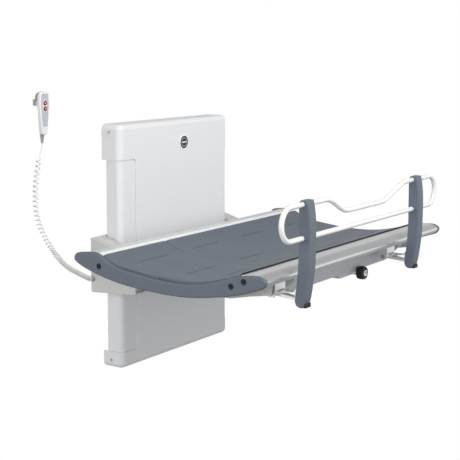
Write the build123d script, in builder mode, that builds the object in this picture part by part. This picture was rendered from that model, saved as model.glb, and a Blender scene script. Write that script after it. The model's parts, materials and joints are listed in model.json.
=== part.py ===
from build123d import *
import math
import os

# Wall-mounted changing table that rises and falls on a lift column.
# Millimetres. X runs along the wall, +Y into the wall, +Z up.
# The origin is the middle of the wall bolt pattern, on the column's back face.

# ---- driving dimensions ----
table_length = 1300.0
table_depth = 803.0
table_rear = -125.0
column_width = 700.0
column_height = 928.0
column_depth = 90.0
cover_wall = 3.0
strip_recess = 3.2
strip_wall = 2.5
cap_height_top = 134.0
cap_height_bottom = 62.0
strip_front_left = 90.0
strip_front_right = 19.0
strip_overlap = 12.0
slot_depth = 19.0
corner_radius = 25.0
top_radius = 20.0

back_plate_wall = 3.0
back_plate_inset = 35.0
wall_bolt_pitch_x = 500.0
wall_bolt_pitch_z = 860.0
wall_bolt_radius = 5.5

bracket_wall = 18.0
bracket_z = 400.0
rail_pitch = 400.0
rail_width = 40.0
rail_depth = 30.0
rail_y = -40.0
screw_radius = 9.0
screw_y = -45.0
screw_spigot_radius = 6.0

lift_down = 235.0
stop_gap = 0.3

plate_front = -15.5
plate_rear = -4.0
plate_top = 44.0
plate_bottom = -163.0
block_width = 66.0
block_height = 50.0
guide_clearance = 0.3

arm_gap = 3.0
arm_width = 69.0
arm_wall = 8.0
arm_cover_wall = 3.0
groove_width = 3.0
groove_depth = 2.0
arm_top_rear = 44.0
arm_top_drop = 0.27
arm_notch_y = -118.0
pivot_y = -200.0
pivot_z = -34.0
ear_radius = 30.0
heel_clear = 72.0
pin_radius = 10.0
pin_clearance = 0.05

beam_width = 26.0
beam_tail_radius = 24.0
beam_bottom = -74.0

mat_seam_x = -285.0
mat_gap = 1.5
mat_end_gap = 3.0
mat_slot_length = 160.0
mat_slot_width = 6.0
mat_slot_pitch = 317.0
mat_slot_first = -457.0
cap_thickness = 12.0
cap_round = 5.0
cap_hole_radius = 11.0
cap_hole_depth = 9.0
cap_screw_radius = 6.5
cap_screw_height = 6.0
cap_socket_radius = 3.4
cap_socket_floor = 2.0

rear_rail_width = 44.0
rear_rail_top = 42.0
rear_rail_bottom = 14.0
trim_width = 20.5
front_rail_bottom = -25.0
front_rail_top = 37.0
front_rail_slope = 0.33
rail_skin = 4.0
cross_size = 24.0
cross_top = -40.0

tray_wall = 3.0
tray_bottom = -78.0
sump_depth = 13.0
drain_bore_radius = 8.0
union_radius = 23.0

guard_centre = -93.0
guard_post_pitch = 794.0
post_width = 44.0
post_depth = 38.0
tube_radius = 9.0
guard_pin_radius = 5.0
guard_pivot_z = -42.0

cap_screw_y = -37.0
cap_screw_z = (-434.0, 435.0)
cap_screw_head = 5.0
cap_screw_shank = 3.0
badge_x = 45.0
badge_z = 372.0
badge_radius = 25.0

button_radius = 7.0
button_gap = 0.3

# ---- places that follow from them ----
half_length = table_length / 2
half_column = column_width / 2
half_height = column_height / 2
table_front = table_rear - table_depth
arm_inner = half_column + arm_gap
arm_outer = arm_inner + arm_width
arm_mid = arm_inner + arm_width / 2
mat_end = half_length - cap_thickness
rear_rail_y = table_rear - 60.0
trim_y = rear_rail_y - rear_rail_width
mat_rear_y = trim_y - trim_width - 0.5
front_rail_y = table_front + 100.0
mat_front_y = front_rail_y + 3.0
guard_pivot_y = table_front + 60.0
post_rear_y = table_front - 35.0
tube_y = table_front - 47.0
cross_rows = (table_rear - 0.38 * table_depth, table_rear - 0.64 * table_depth)
pattern = [(sx * rail_pitch / 2) for sx in (-1, 1)]

os.makedirs("parts", exist_ok=True)


def save(piece, name):
    """Label a finished sub-part and write its STEP file."""
    piece.part.label = name
    export_step(piece.part, f"parts/{name}.step")


def depth_at(share):
    """Y of a point a share of the way from the table's rear tip to its front tip."""
    return table_rear - share * table_depth


def arm_top(y):
    """Height of the arm's sloping top at y."""
    return arm_top_rear + arm_top_drop * y


def rail_under(y):
    """Height of the front rail's slanted underside at y."""
    return front_rail_bottom + front_rail_slope * (front_rail_y - y)


def post_rear(z):
    """Y of the leaning lower part of a guard post's rear face at height z."""
    return post_rear_y + 6.5 - 0.125 * z


# ================= wall column =================
with BuildPart() as back_plate:
    with BuildSketch(Plane.XZ):
        Rectangle(column_width - 2 * back_plate_inset, column_height - 10)
        with GridLocations(wall_bolt_pitch_x, wall_bolt_pitch_z, 2, 2):
            Circle(wall_bolt_radius, mode=Mode.SUBTRACT)
        with GridLocations(rail_pitch * 0.4, column_height * 0.45, 2, 2):
            SlotOverall(90, 24, mode=Mode.SUBTRACT)
    extrude(amount=back_plate_wall)
save(back_plate, "back_plate")

for name, z0 in (("top_bracket", bracket_z), ("bottom_bracket", -bracket_z - 2 - bracket_wall)):
    with BuildPart() as bracket:
        with BuildSketch(Plane.XY.offset(z0)):
            with Locations((0, (-back_plate_wall - 72) / 2)):
                RectangleRounded(column_width - 120, 72 - back_plate_wall, 6)
            with Locations((0, screw_y)):
                Circle(screw_spigot_radius, mode=Mode.SUBTRACT)
            with Locations((-100, -42), (100, -42)):
                SlotOverall(70, 22, mode=Mode.SUBTRACT)
        extrude(amount=bracket_wall)
    save(bracket, name)

rail_low = -bracket_z - 2
for name, x in (("guide_rail_left", pattern[0]), ("guide_rail_right", pattern[1])):
    with BuildPart() as guide_rail:
        with BuildSketch(Plane.XY.offset(rail_low)):
            with Locations((x, rail_y)):
                Rectangle(rail_width, rail_depth)
                Rectangle(rail_width - 10, rail_depth - 10, mode=Mode.SUBTRACT)
        extrude(amount=bracket_z - rail_low)
    save(guide_rail, name)

with BuildPart() as lead_screw:
    with BuildSketch(Plane.XY.offset(rail_low)):
        with Locations((0, screw_y)):
            Circle(screw_radius)
    extrude(amount=bracket_z - rail_low)
    with BuildSketch(Plane.XY.offset(rail_low - bracket_wall)):
        with Locations((0, screw_y)):
            Circle(screw_spigot_radius)
    extrude(amount=bracket_z - rail_low + 2 * bracket_wall)
save(lead_screw, "lead_screw")

with BuildPart() as end_stops:
    with BuildSketch(Plane.XY.offset(rail_low)):
        with Locations((-100, -11), (100, -11)):
            Rectangle(40, 9)
    extrude(amount=plate_bottom - lift_down - stop_gap - rail_low)
save(end_stops, "end_stops")


strip_top = half_height - cap_height_top
strip_bottom = cap_height_bottom - half_height
strip_seams = {-1: half_column - strip_front_left, 1: half_column - strip_front_right}


def column_section(inset, rear, x_from=None):
    """The column's outline in plan, inset from its skin, with rounded front corners."""
    with BuildSketch() as section:
        with Locations((0, (rear + inset - column_depth) / 2)):
            Rectangle(column_width - 2 * inset, column_depth - inset + rear)
        fillet(section.vertices().group_by(Axis.Y)[0], corner_radius - inset)
        if x_from is not None:
            with Locations((0, -column_depth / 2)):
                Rectangle(2 * x_from, 2 * column_depth, mode=Mode.SUBTRACT)
    return section.sketch


def column_block(inset):
    """The column as a solid block, inset from its skin, with rounded top and bottom front edges."""
    with BuildPart() as block:
        with BuildSketch(Plane.XY.offset(inset - half_height)):
            add(column_section(inset, 0))
        extrude(amount=column_height - 2 * inset)
        fillet(block.faces().sort_by(Axis.Y)[0].edges().filter_by(Axis.X), top_radius - inset)
    return block.part


with BuildPart() as front_cover:
    add(column_block(0))
    add(column_block(cover_wall), mode=Mode.SUBTRACT)
    for side, seam in strip_seams.items():
        with BuildSketch(Plane.XZ.offset(-1)):
            with Locations((side * (seam + column_width / 2), (strip_top + strip_bottom) / 2)):
                RectangleRounded(column_width, strip_top - strip_bottom, 12)
        extrude(amount=column_depth + 2, mode=Mode.SUBTRACT)
    # holes for the cap screws on the two sides
    for z in cap_screw_z:
        with BuildSketch(Plane.YZ.offset(-column_width)):
            with Locations((cap_screw_y, z)):
                Circle(cap_screw_shank)
        extrude(amount=2 * column_width, mode=Mode.SUBTRACT)
save(front_cover, "front_cover")

strip_length = strip_top - strip_bottom + 2 * strip_overlap
for name, side in (("side_cover_left", -1), ("side_cover_right", 1)):
    with BuildPart() as side_cover:
        with BuildSketch(Plane.XY.offset(strip_bottom - strip_overlap)):
            add(column_section(strip_recess, -slot_depth, strip_seams[side] - strip_overlap))
            add(column_section(strip_recess + strip_wall, 0), mode=Mode.SUBTRACT)
            with Locations((-side * column_width / 2, 0)):
                Rectangle(column_width, 2 * column_depth, mode=Mode.SUBTRACT)
        extrude(amount=strip_length)
    save(side_cover, name)

with BuildPart() as badge:
    with BuildSketch(Plane.XZ.offset(column_depth)):
        with Locations((badge_x, badge_z)):
            Circle(badge_radius)
    extrude(amount=1.5)
    chamfer(badge.edges().group_by(Axis.Y)[0], 0.5)
save(badge, "badge")

with BuildPart() as cover_screws:
    for side in (-1, 1):
        for z in cap_screw_z:
            with BuildSketch(Plane.YZ.offset(side * half_column)):
                with Locations((cap_screw_y, z)):
                    Circle(cap_screw_head)
            extrude(amount=side * 2.0)
            with BuildSketch(Plane.YZ.offset(side * (half_column - 10))):
                with Locations((cap_screw_y, z)):
                    Circle(cap_screw_shank - 0.1)
            extrude(amount=side * 10.5)
            with BuildSketch(Plane.YZ.offset(side * (half_column + 2.0))):
                with Locations((cap_screw_y, z)):
                    RegularPolygon(2.6, 6)
            extrude(amount=-side * 1.2, mode=Mode.SUBTRACT)
save(cover_screws, "cover_screws")

# ================= travelling carriage =================
with BuildPart() as carriage_plate:
    with BuildSketch(Plane.XZ.offset(-plate_rear)):
        with Locations((0, (plate_top + plate_bottom) / 2)):
            Rectangle(2 * arm_inner, plate_top - plate_bottom)
        with Locations((0, -60)):
            with GridLocations(rail_pitch / 2 + 90, 0, 2, 1):
                SlotOverall(60, 30, rotation=90, mode=Mode.SUBTRACT)
    extrude(amount=plate_rear - plate_front)
save(carriage_plate, "carriage_plate")

with BuildPart() as slide_blocks:
    for x in pattern:
        for z in (plate_bottom + 28, plate_top - 28 - block_height):
            with BuildSketch(Plane.XY.offset(z)):
                with Locations((x, (plate_front - 62) / 2)):
                    Rectangle(block_width, 62 + plate_front)
                with Locations((x, rail_y)):
                    Rectangle(rail_width + 2 * guide_clearance, rail_depth + 2 * guide_clearance,
                              mode=Mode.SUBTRACT)
            extrude(amount=block_height)
save(slide_blocks, "slide_blocks")

nut_low = -85.0
nut_height = 50.0
nut_radius = 22.0
gearbox_clearance = 0.3
with BuildPart() as drive_nut:
    with BuildSketch(Plane.XY.offset(nut_low)):
        with Locations((0, screw_y)):
            Circle(nut_radius)
            Circle(screw_radius + 0.06, mode=Mode.SUBTRACT)
    extrude(amount=nut_height)
    with BuildSketch(Plane.XY.offset(nut_low + nut_height / 2 - 6)):
        with Locations((0, screw_y)):
            Circle(nut_radius + 1)
            with PolarLocations(nut_radius + 1, 30):
                Rectangle(2.2, 2.6, mode=Mode.SUBTRACT)
    extrude(amount=12)
    with BuildSketch(Plane.XY.offset(nut_low + nut_height / 2 - 6)):
        with Locations((0, screw_y)):
            Circle(screw_radius + 0.06)
    extrude(amount=12, mode=Mode.SUBTRACT)
save(drive_nut, "drive_nut")

gearbox_half = 36.0
gearbox_low = nut_low - 12
with BuildPart() as gearbox:
    with BuildSketch(Plane.XY.offset(gearbox_low)):
        with Locations((0, (plate_front - 80) / 2)):
            RectangleRounded(2 * gearbox_half, 80 + plate_front, 5)
        with Locations((0, screw_y)):
            Circle(screw_radius + 2, mode=Mode.SUBTRACT)
    extrude(amount=nut_height + 24)
    with BuildSketch(Plane.XY.offset(nut_low - gearbox_clearance)):
        with Locations((0, screw_y)):
            Circle(nut_radius + 1 + gearbox_clearance)
    extrude(amount=nut_height + 2 * gearbox_clearance, mode=Mode.SUBTRACT)
save(gearbox, "gearbox")

with BuildPart() as motor:
    with BuildSketch(Plane.YZ.offset(gearbox_half)):
        with Locations((-47, -60)):
            Circle(27)
    extrude(amount=92)
    with BuildSketch(Plane.YZ.offset(gearbox_half + 92)):
        with Locations((-47, -60)):
            Circle(20)
    extrude(amount=10)
    fillet(motor.edges().group_by(Axis.X)[-1], 3)
save(motor, "motor")

with BuildPart() as control_box:
    with BuildSketch(Plane.XZ.offset(-plate_front)):
        with Locations((-100, -70)):
            RectangleRounded(108, 120, 6)
    extrude(amount=56)
    fillet(control_box.edges().group_by(Axis.Y)[0], 3)
save(control_box, "control_box")

for name, side in (("left", -1), ("right", 1)):
    with BuildPart() as arm:
        with BuildSketch(Plane.YZ.offset(side * arm_inner)):
            with BuildLine():
                Polyline(
                    (plate_rear, plate_bottom),
                    (plate_rear, arm_top(plate_rear) - arm_cover_wall),
                    (arm_notch_y, arm_top(arm_notch_y) - arm_cover_wall),
                    (arm_notch_y, pivot_z - 22),
                    (pivot_y, pivot_z - 22),
                    (pivot_y - 16, pivot_z - 22),
                    (pivot_y - 16, plate_bottom + 15),
                    close=True,
                )
            make_face()
            with Locations((pivot_y, pivot_z)):
                Circle(ear_radius)
        extrude(amount=side * arm_width)
        fillet(arm.edges().filter_by(Axis.X).group_by(Axis.Z)[0].sort_by(Axis.Y)[-1], 9)
        # hollow between the two side plates, open at the front
        with BuildSketch(Plane.YZ.offset(side * (arm_inner + arm_wall))):
            with BuildLine():
                Polyline(
                    (plate_rear - 26, plate_bottom + 10),
                    (plate_rear - 26, arm_top(plate_rear - 26) - arm_cover_wall - 6),
                    (arm_notch_y - 1, arm_top(arm_notch_y - 1) - arm_cover_wall - 6),
                    (pivot_y - 60, pivot_z + 60),
                    (pivot_y - 60, plate_bottom + 24),
                    close=True,
                )
            make_face()
        extrude(amount=side * (arm_width - 2 * arm_wall), mode=Mode.SUBTRACT)
        # front wall, set back between the side plates and clear of the beam's swinging heel
        with BuildSketch(Plane.YZ.offset(side * arm_inner)):
            with Locations((pivot_y - 2, (plate_bottom + 20 + pivot_z - heel_clear) / 2)):
                Rectangle(arm_wall, pivot_z - heel_clear - plate_bottom - 20)
        extrude(amount=side * arm_width)
        with BuildSketch(Plane.YZ.offset(side * arm_inner)):
            with Locations((pivot_y, pivot_z)):
                Circle(pin_radius + pin_clearance)
        extrude(amount=side * arm_width, mode=Mode.SUBTRACT)
    save(arm, f"arm_{name}")

    with BuildPart() as arm_cover:
        with BuildSketch(Plane.YZ.offset(side * arm_inner)):
            with BuildLine():
                Polyline(
                    (plate_rear, arm_top(plate_rear) - arm_cover_wall),
                    (plate_rear, arm_top(plate_rear)),
                    (arm_notch_y, arm_top(arm_notch_y)),
                    (arm_notch_y, arm_top(arm_notch_y) - arm_cover_wall),
                    close=True,
                )
            make_face()
        extrude(amount=side * arm_width)
        # two shallow grooves run down the slope
        for offset_x in (14.0, arm_width - 14.0):
            with BuildSketch(Plane.YZ.offset(side * (arm_inner + offset_x - groove_width / 2))):
                with BuildLine():
                    Polyline(
                        (plate_rear - 6, arm_top(plate_rear - 6) - groove_depth),
                        (plate_rear - 6, arm_top(plate_rear - 6) + 5),
                        (arm_notch_y - 5, arm_top(arm_notch_y) + 5),
                        (arm_notch_y - 5, arm_top(arm_notch_y - 5) - groove_depth),
                        close=True,
                    )
                make_face()
            extrude(amount=side * groove_width, mode=Mode.SUBTRACT)
    save(arm_cover, f"arm_cover_{name}")

with BuildPart() as hinge_pins:
    for side in (-1, 1):
        with BuildSketch(Plane.YZ.offset(side * arm_inner)):
            with Locations((pivot_y, pivot_z)):
                Circle(pin_radius)
        extrude(amount=side * (arm_width + 3))
        with BuildSketch(Plane.YZ.offset(side * arm_outer)):
            with Locations((pivot_y, pivot_z)):
                Circle(pin_radius + 5)
        extrude(amount=side * 3)
save(hinge_pins, "hinge_pins")

heel_y = pivot_y + beam_tail_radius
heel_z = pivot_z - 64
with BuildPart() as fold_stops:
    for side in (-1, 1):
        with BuildSketch(Plane.YZ.offset(side * (arm_inner + arm_wall))):
            with Locations((heel_y + 13, heel_z + 18)):
                Rectangle(26, 32)
        extrude(amount=side * (arm_width - 2 * arm_wall))
save(fold_stops, "fold_stops")

# ================= folding table =================
for name, side in (("left", -1), ("right", 1)):
    x0 = side * (arm_mid - beam_width / 2)
    with BuildPart() as hinge_beam:
        with BuildSketch(Plane.YZ.offset(x0)):
            with BuildLine():
                Polyline(
                    (rear_rail_y - 6, pivot_z),
                    (rear_rail_y - 6, rear_rail_bottom),
                    (trim_y - trim_width, rear_rail_bottom),
                    (trim_y - trim_width - 4, pivot_z + 30),
                    (depth_at(0.31), cross_top - 8),
                    (depth_at(0.70), cross_top - 8),
                    (front_rail_y + 4, front_rail_bottom - 16),
                    (front_rail_y - 4, rail_under(front_rail_y - 4)),
                    (front_rail_y - 50, rail_under(front_rail_y - 50)),
                    (front_rail_y - 50, rail_under(front_rail_y - 50) - 8),
                    (front_rail_y + 10, beam_bottom),
                    (pivot_y - 60, beam_bottom),
                    (pivot_y - beam_tail_radius, heel_z),
                    (heel_y, heel_z),
                    (heel_y, pivot_z),
                    close=True,
                )
            make_face()
            with Locations((pivot_y, pivot_z)):
                Circle(beam_tail_radius)
        extrude(amount=side * beam_width)
        with BuildSketch(Plane.YZ.offset(x0)):
            with Locations((pivot_y, pivot_z)):
                Circle(pin_radius + pin_clearance)
        extrude(amount=side * beam_width, mode=Mode.SUBTRACT)
    save(hinge_beam, f"hinge_beam_{name}")

plate_x = half_length - 110.0
plate_thick = 6.0
inner_span = 2 * (arm_mid - beam_width / 2)
outer_start = arm_mid + beam_width / 2
with BuildPart() as cross_members:
    for y in cross_rows:
        with BuildSketch(Plane.YZ.offset(-inner_span / 2)):
            with Locations((y, cross_top - cross_size / 2)):
                Rectangle(cross_size, cross_size)
                Rectangle(cross_size - 6, cross_size - 6, mode=Mode.SUBTRACT)
        extrude(amount=inner_span)
        for side in (-1, 1):
            with BuildSketch(Plane.YZ.offset(side * outer_start)):
                with Locations((y, cross_top - cross_size / 2)):
                    Rectangle(cross_size, cross_size)
                    Rectangle(cross_size - 6, cross_size - 6, mode=Mode.SUBTRACT)
            extrude(amount=side * (mat_end - outer_start))
save(cross_members, "cross_members")

for name, side in (("left", -1), ("right", 1)):
    with BuildPart() as side_plate:
        with BuildSketch(Plane.YZ.offset(side * plate_x)):
            with BuildLine():
                Polyline(
                    (depth_at(0.24), cross_top - 6),
                    (depth_at(0.80), cross_top - 6),
                    (front_rail_y - 4, rail_under(front_rail_y - 4)),
                    (front_rail_y - 58, rail_under(front_rail_y - 58)),
                    (front_rail_y - 50, front_rail_bottom - 19),
                    (depth_at(0.843), front_rail_bottom - 31),
                    (depth_at(0.742), cross_top - cross_size - 9),
                    (depth_at(0.40), cross_top - cross_size - 12),
                    (depth_at(0.24), cross_top - cross_size),
                    close=True,
                )
            make_face()
            with Locations((front_rail_y - 34, front_rail_bottom - 13)):
                Circle(5, mode=Mode.SUBTRACT)
            # the cross members pass through
            for y in cross_rows:
                with Locations((y, cross_top - cross_size / 2)):
                    Rectangle(cross_size, cross_size, mode=Mode.SUBTRACT)
        extrude(amount=side * plate_thick)
    save(side_plate, f"side_plate_{name}")

with BuildPart() as rear_rail:
    with BuildSketch(Plane.YZ.offset(-mat_end)):
        with Locations((rear_rail_y - rear_rail_width / 2, (rear_rail_top + rear_rail_bottom) / 2)):
            RectangleRounded(rear_rail_width, rear_rail_top - rear_rail_bottom, 3)
            RectangleRounded(rear_rail_width - 7, rear_rail_top - rear_rail_bottom - 7, 1,
                             mode=Mode.SUBTRACT)
    extrude(amount=2 * mat_end)
save(rear_rail, "rear_rail")

with BuildPart() as rear_trim:
    with BuildSketch(Plane.YZ.offset(-mat_end)):
        with BuildLine():
            Polyline(
                (trim_y, rear_rail_bottom),
                (trim_y, rear_rail_top + 1),
                (trim_y - 6, rear_rail_top + 1.5),
                (trim_y - trim_width, rear_rail_top - 5),
                (trim_y - trim_width, rear_rail_bottom),
                close=True,
            )
        make_face()
    extrude(amount=2 * mat_end)
save(rear_trim, "rear_trim")

nose_top_y = table_front + 49.0
nose_tip_z = 20.0
nose_low_y = table_front + 24.0


def front_rail_section(inset):
    """Front rail outline, inset from its skin: flat back, slanted underside, rounded nose."""
    back = front_rail_y - inset
    top = front_rail_top - inset
    with BuildSketch() as section:
        with BuildLine():
            flats = Polyline((nose_low_y, rail_under(nose_low_y) + inset),
                             (back, rail_under(back) + inset), (back, top - 3),
                             (nose_top_y + 20, top), (nose_top_y, top))
            Spline(flats @ 1, (table_front + 17 + inset, 32 - inset),
                   (table_front + 4 + inset, nose_tip_z), (table_front + 11 + inset, 6 + inset), flats @ 0)
        make_face()
    return section.sketch


with BuildPart() as front_rail:
    with BuildSketch(Plane.YZ.offset(-mat_end)):
        add(front_rail_section(0))
        add(front_rail_section(rail_skin), mode=Mode.SUBTRACT)
    extrude(amount=2 * mat_end)
save(front_rail, "front_rail")

cap_outline = ((0.0, 19), (0.008, 31), (0.046, 40), (0.131, 42), (0.208, 11), (0.308, -7), (0.504, -23),
               (0.66, -17), (0.80, 12), (0.868, 30), (0.93, 37), (0.979, 34), (0.998, 22), (0.989, 4),
               (0.958, -8), (0.915, -20), (0.75, -51), (0.589, -66), (0.423, -64), (0.229, -49),
               (0.078, -20), (0.02, -1))
cap_holes = ((0.143, -2.0), (0.833, -6.0), (0.894, 14.0))
for name, side in (("left", -1), ("right", 1)):
    with BuildPart() as end_cap:
        with BuildSketch(Plane.YZ.offset(side * mat_end)):
            with BuildLine():
                Spline(*[(depth_at(share), z) for share, z in cap_outline], periodic=True)
            make_face()
        extrude(amount=side * cap_thickness)
        outer_face = end_cap.faces().sort_by(Axis.X)[-1 if side > 0 else 0]
        fillet(outer_face.edges(), cap_round)
        for share, z in cap_holes:
            with BuildSketch(Plane.YZ.offset(side * half_length)):
                with Locations((depth_at(share), z)):
                    Circle(cap_hole_radius)
            extrude(amount=-side * cap_hole_depth, mode=Mode.SUBTRACT)
    save(end_cap, f"end_cap_{name}")

with BuildPart() as end_cap_screws:
    for side in (-1, 1):
        for share, z in cap_holes:
            with BuildSketch(Plane.YZ.offset(side * (half_length - cap_hole_depth))):
                with Locations((depth_at(share), z)):
                    Circle(cap_screw_radius)
                    RegularPolygon(cap_socket_radius, 6, mode=Mode.SUBTRACT)
            extrude(amount=side * cap_screw_height)
            with BuildSketch(Plane.YZ.offset(side * (half_length - cap_hole_depth))):
                with Locations((depth_at(share), z)):
                    Circle(cap_screw_radius)
            extrude(amount=side * cap_socket_floor)
save(end_cap_screws, "end_cap_screws")

mat_span = mat_rear_y - mat_front_y


def mat_y(share):
    """Y of a point a share of the way across the lying surface, back to front."""
    return mat_rear_y - share * mat_span


mat_line = ((0.0, 38), (0.075, 16), (0.21, 0), (0.48, -13.5), (0.71, -8), (0.86, 10), (1.0, 35))
mat_depth_line = (20, 21, 20, 19, 20, 21, 20)
slot_rows = (0.137, 0.494, 0.748)
seal_low = 18.0
seal_top = 38.5
seal_gap = 0.3


slot_centres = [mat_slot_first + n * mat_slot_pitch for n in range(4)]
mats = (("mat_near", -mat_end + mat_end_gap, mat_seam_x - mat_gap / 2),
        ("mat_far", mat_seam_x + mat_gap / 2, mat_end - mat_end_gap))
for name, x_from, x_to in mats:
    with BuildPart() as mat:
        with BuildSketch(Plane.YZ.offset(x_from)):
            with BuildLine():
                top = Spline(*[(mat_y(share), z) for share, z in mat_line])
                low = Spline(*[(mat_y(share), z - d)
                               for (share, z), d in zip(mat_line, mat_depth_line)])
                Line(top @ 0, low @ 0)
                Line(top @ 1, low @ 1)
            make_face()
        extrude(amount=x_to - x_from)
        # feet that stand on the cross members
        for y in cross_rows:
            with BuildSketch(Plane.XY.offset(cross_top)):
                with Locations(((x_from + x_to) / 2, y)):
                    Rectangle(x_to - x_from - 20, cross_size - 8)
            extrude(amount=20)
        # drain slots
        for x in slot_centres:
            if x_from + 90 < x < x_to - 90:
                for share in slot_rows:
                    with BuildSketch(Plane.XY.offset(-80)):
                        with Locations((x, mat_y(share))):
                            SlotOverall(mat_slot_length, mat_slot_width)
                    extrude(amount=160, mode=Mode.SUBTRACT)
        if name == "mat_near":
            # finger slot for lifting the mat out
            with BuildSketch(Plane.XY.offset(-80)):
                with Locations((x_from, depth_at(0.505))):
                    RectangleRounded(20, 95, 4)
            extrude(amount=160, mode=Mode.SUBTRACT)
    save(mat, name)

with BuildPart() as mat_seal:
    with BuildSketch(Plane.YZ.offset(1 - mat_end)):
        with BuildLine():
            Polyline((front_rail_y, seal_low), (front_rail_y, seal_top), (mat_front_y - seal_gap, seal_top),
                     (mat_front_y - seal_gap, seal_low), close=True)
        make_face()
    extrude(amount=2 * mat_end - 2)
save(mat_seal, "mat_seal")

tray_half = arm_mid - beam_width / 2 - 1.0
tray_rear_y = depth_at(0.22)
tray_front_y = front_rail_y + 8.0
tray_mid_y = (tray_rear_y + tray_front_y) / 2
tray_depth = tray_rear_y - tray_front_y
tray_top = cross_top - cross_size
sump_from, sump_to = 10.0, 111.0
sump_mid = (sump_from + sump_to) / 2
sump_rear_y = tray_front_y + 120.0
with BuildPart() as water_tray:
    with BuildSketch(Plane.XY.offset(tray_bottom)):
        with Locations((0, tray_mid_y)):
            Rectangle(2 * tray_half, tray_depth)
    extrude(amount=tray_top - tray_bottom)
    with BuildSketch(Plane.XY.offset(tray_top)):
        with Locations((0, tray_front_y + tray_wall / 2)):
            Rectangle(2 * tray_half, tray_wall)
    extrude(amount=front_rail_bottom - tray_top - 2)
    with BuildSketch(Plane.XY.offset(tray_bottom - sump_depth)):
        with Locations((sump_mid, (tray_front_y + sump_rear_y) / 2)):
            Rectangle(sump_to - sump_from, sump_rear_y - tray_front_y)
    extrude(amount=sump_depth)
    chamfer(water_tray.edges().filter_by(Axis.Y).group_by(Axis.Z)[0], 5)
    with BuildSketch(Plane.XY.offset(tray_bottom + tray_wall)):
        with Locations((0, tray_mid_y)):
            Rectangle(2 * (tray_half - tray_wall), tray_depth - 2 * tray_wall)
    extrude(amount=tray_top - tray_bottom, mode=Mode.SUBTRACT)
    with BuildSketch(Plane.XY.offset(tray_bottom + tray_wall - sump_depth)):
        with Locations((sump_mid, (tray_front_y + sump_rear_y) / 2)):
            Rectangle(sump_to - sump_from - 12, sump_rear_y - tray_front_y - 2 * tray_wall)
    extrude(amount=sump_depth + 1, mode=Mode.SUBTRACT)
save(water_tray, "water_tray")

drain_x = sump_to + 40.0
drain_link_y = tray_front_y + 24.0
drain_nose_y = tray_front_y - 36.0
with BuildPart() as drain_pipe:
    with BuildSketch(Plane.YZ.offset(sump_to)):
        with Locations((drain_link_y, tray_bottom - 7.5)):
            Circle(5)
    extrude(amount=drain_x - sump_to)
    with BuildSketch(Plane.XZ.offset(-drain_link_y - 6)):
        with Locations((drain_x, tray_bottom - 11)):
            Circle(11)
    extrude(amount=drain_link_y + 6 - drain_nose_y)
    with BuildSketch(Plane.XZ.offset(-drain_nose_y)):
        with Locations((drain_x, tray_bottom - 11)):
            Circle(drain_bore_radius)
    extrude(amount=-30, mode=Mode.SUBTRACT)
save(drain_pipe, "drain_pipe")

union_z = tray_bottom - 11
with BuildPart() as drain_union_nut:
    with BuildSketch(Plane.XZ.offset(-drain_nose_y - 30)):
        with Locations((drain_x, union_z)):
            Circle(union_radius)
            with PolarLocations(union_radius, 18):
                Rectangle(2.4, 3.2, mode=Mode.SUBTRACT)
            with Locations((0, 0)):
                Circle(11, mode=Mode.SUBTRACT)
    extrude(amount=27)
save(drain_union_nut, "drain_union_nut")

# ================= fold-down guard =================
post_xs = (("left", guard_centre - guard_post_pitch / 2),
           ("right", guard_centre + guard_post_pitch / 2))
bracket_reach = 32.0
bracket_shift = -8.0
bracket_half = 17.0
bracket_low = guard_pivot_z + 11
cheek = 8.0
cheek_low = guard_pivot_z - 11
with BuildPart() as guard_brackets:
    for _, x in post_xs:
        x_mid = x + bracket_shift
        # wedge that seats on the rail's slanted underside
        with BuildSketch(Plane.YZ.offset(x_mid - bracket_reach)):
            with BuildLine():
                Polyline(
                    (guard_pivot_y + bracket_half, bracket_low),
                    (guard_pivot_y + bracket_half, rail_under(guard_pivot_y + bracket_half)),
                    (guard_pivot_y - bracket_half, rail_under(guard_pivot_y - bracket_half)),
                    (guard_pivot_y - bracket_half, bracket_low),
                    close=True,
                )
            make_face()
        extrude(amount=2 * bracket_reach)
        for x0 in (x_mid - bracket_reach, x_mid + bracket_reach - cheek):
            with BuildSketch(Plane.YZ.offset(x0)):
                with BuildLine():
                    Polyline(
                        (guard_pivot_y + bracket_half, bracket_low),
                        (guard_pivot_y - bracket_half, bracket_low),
                        (guard_pivot_y - 12, cheek_low),
                        (guard_pivot_y + 12, cheek_low),
                        close=True,
                    )
                make_face()
                with Locations((guard_pivot_y, guard_pivot_z)):
                    Circle(guard_pin_radius + pin_clearance, mode=Mode.SUBTRACT)
            extrude(amount=cheek)
save(guard_brackets, "guard_brackets")

with BuildPart() as guard_pins:
    for _, x in post_xs:
        x_mid = x + bracket_shift
        with BuildSketch(Plane.YZ.offset(x_mid - bracket_reach - 2)):
            with Locations((guard_pivot_y, guard_pivot_z)):
                Circle(guard_pin_radius + 2.5)
        extrude(amount=2)
        with BuildSketch(Plane.YZ.offset(x_mid - bracket_reach)):
            with Locations((guard_pivot_y, guard_pivot_z)):
                Circle(guard_pin_radius)
        extrude(amount=2 * bracket_reach)
save(guard_pins, "guard_pins")

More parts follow.
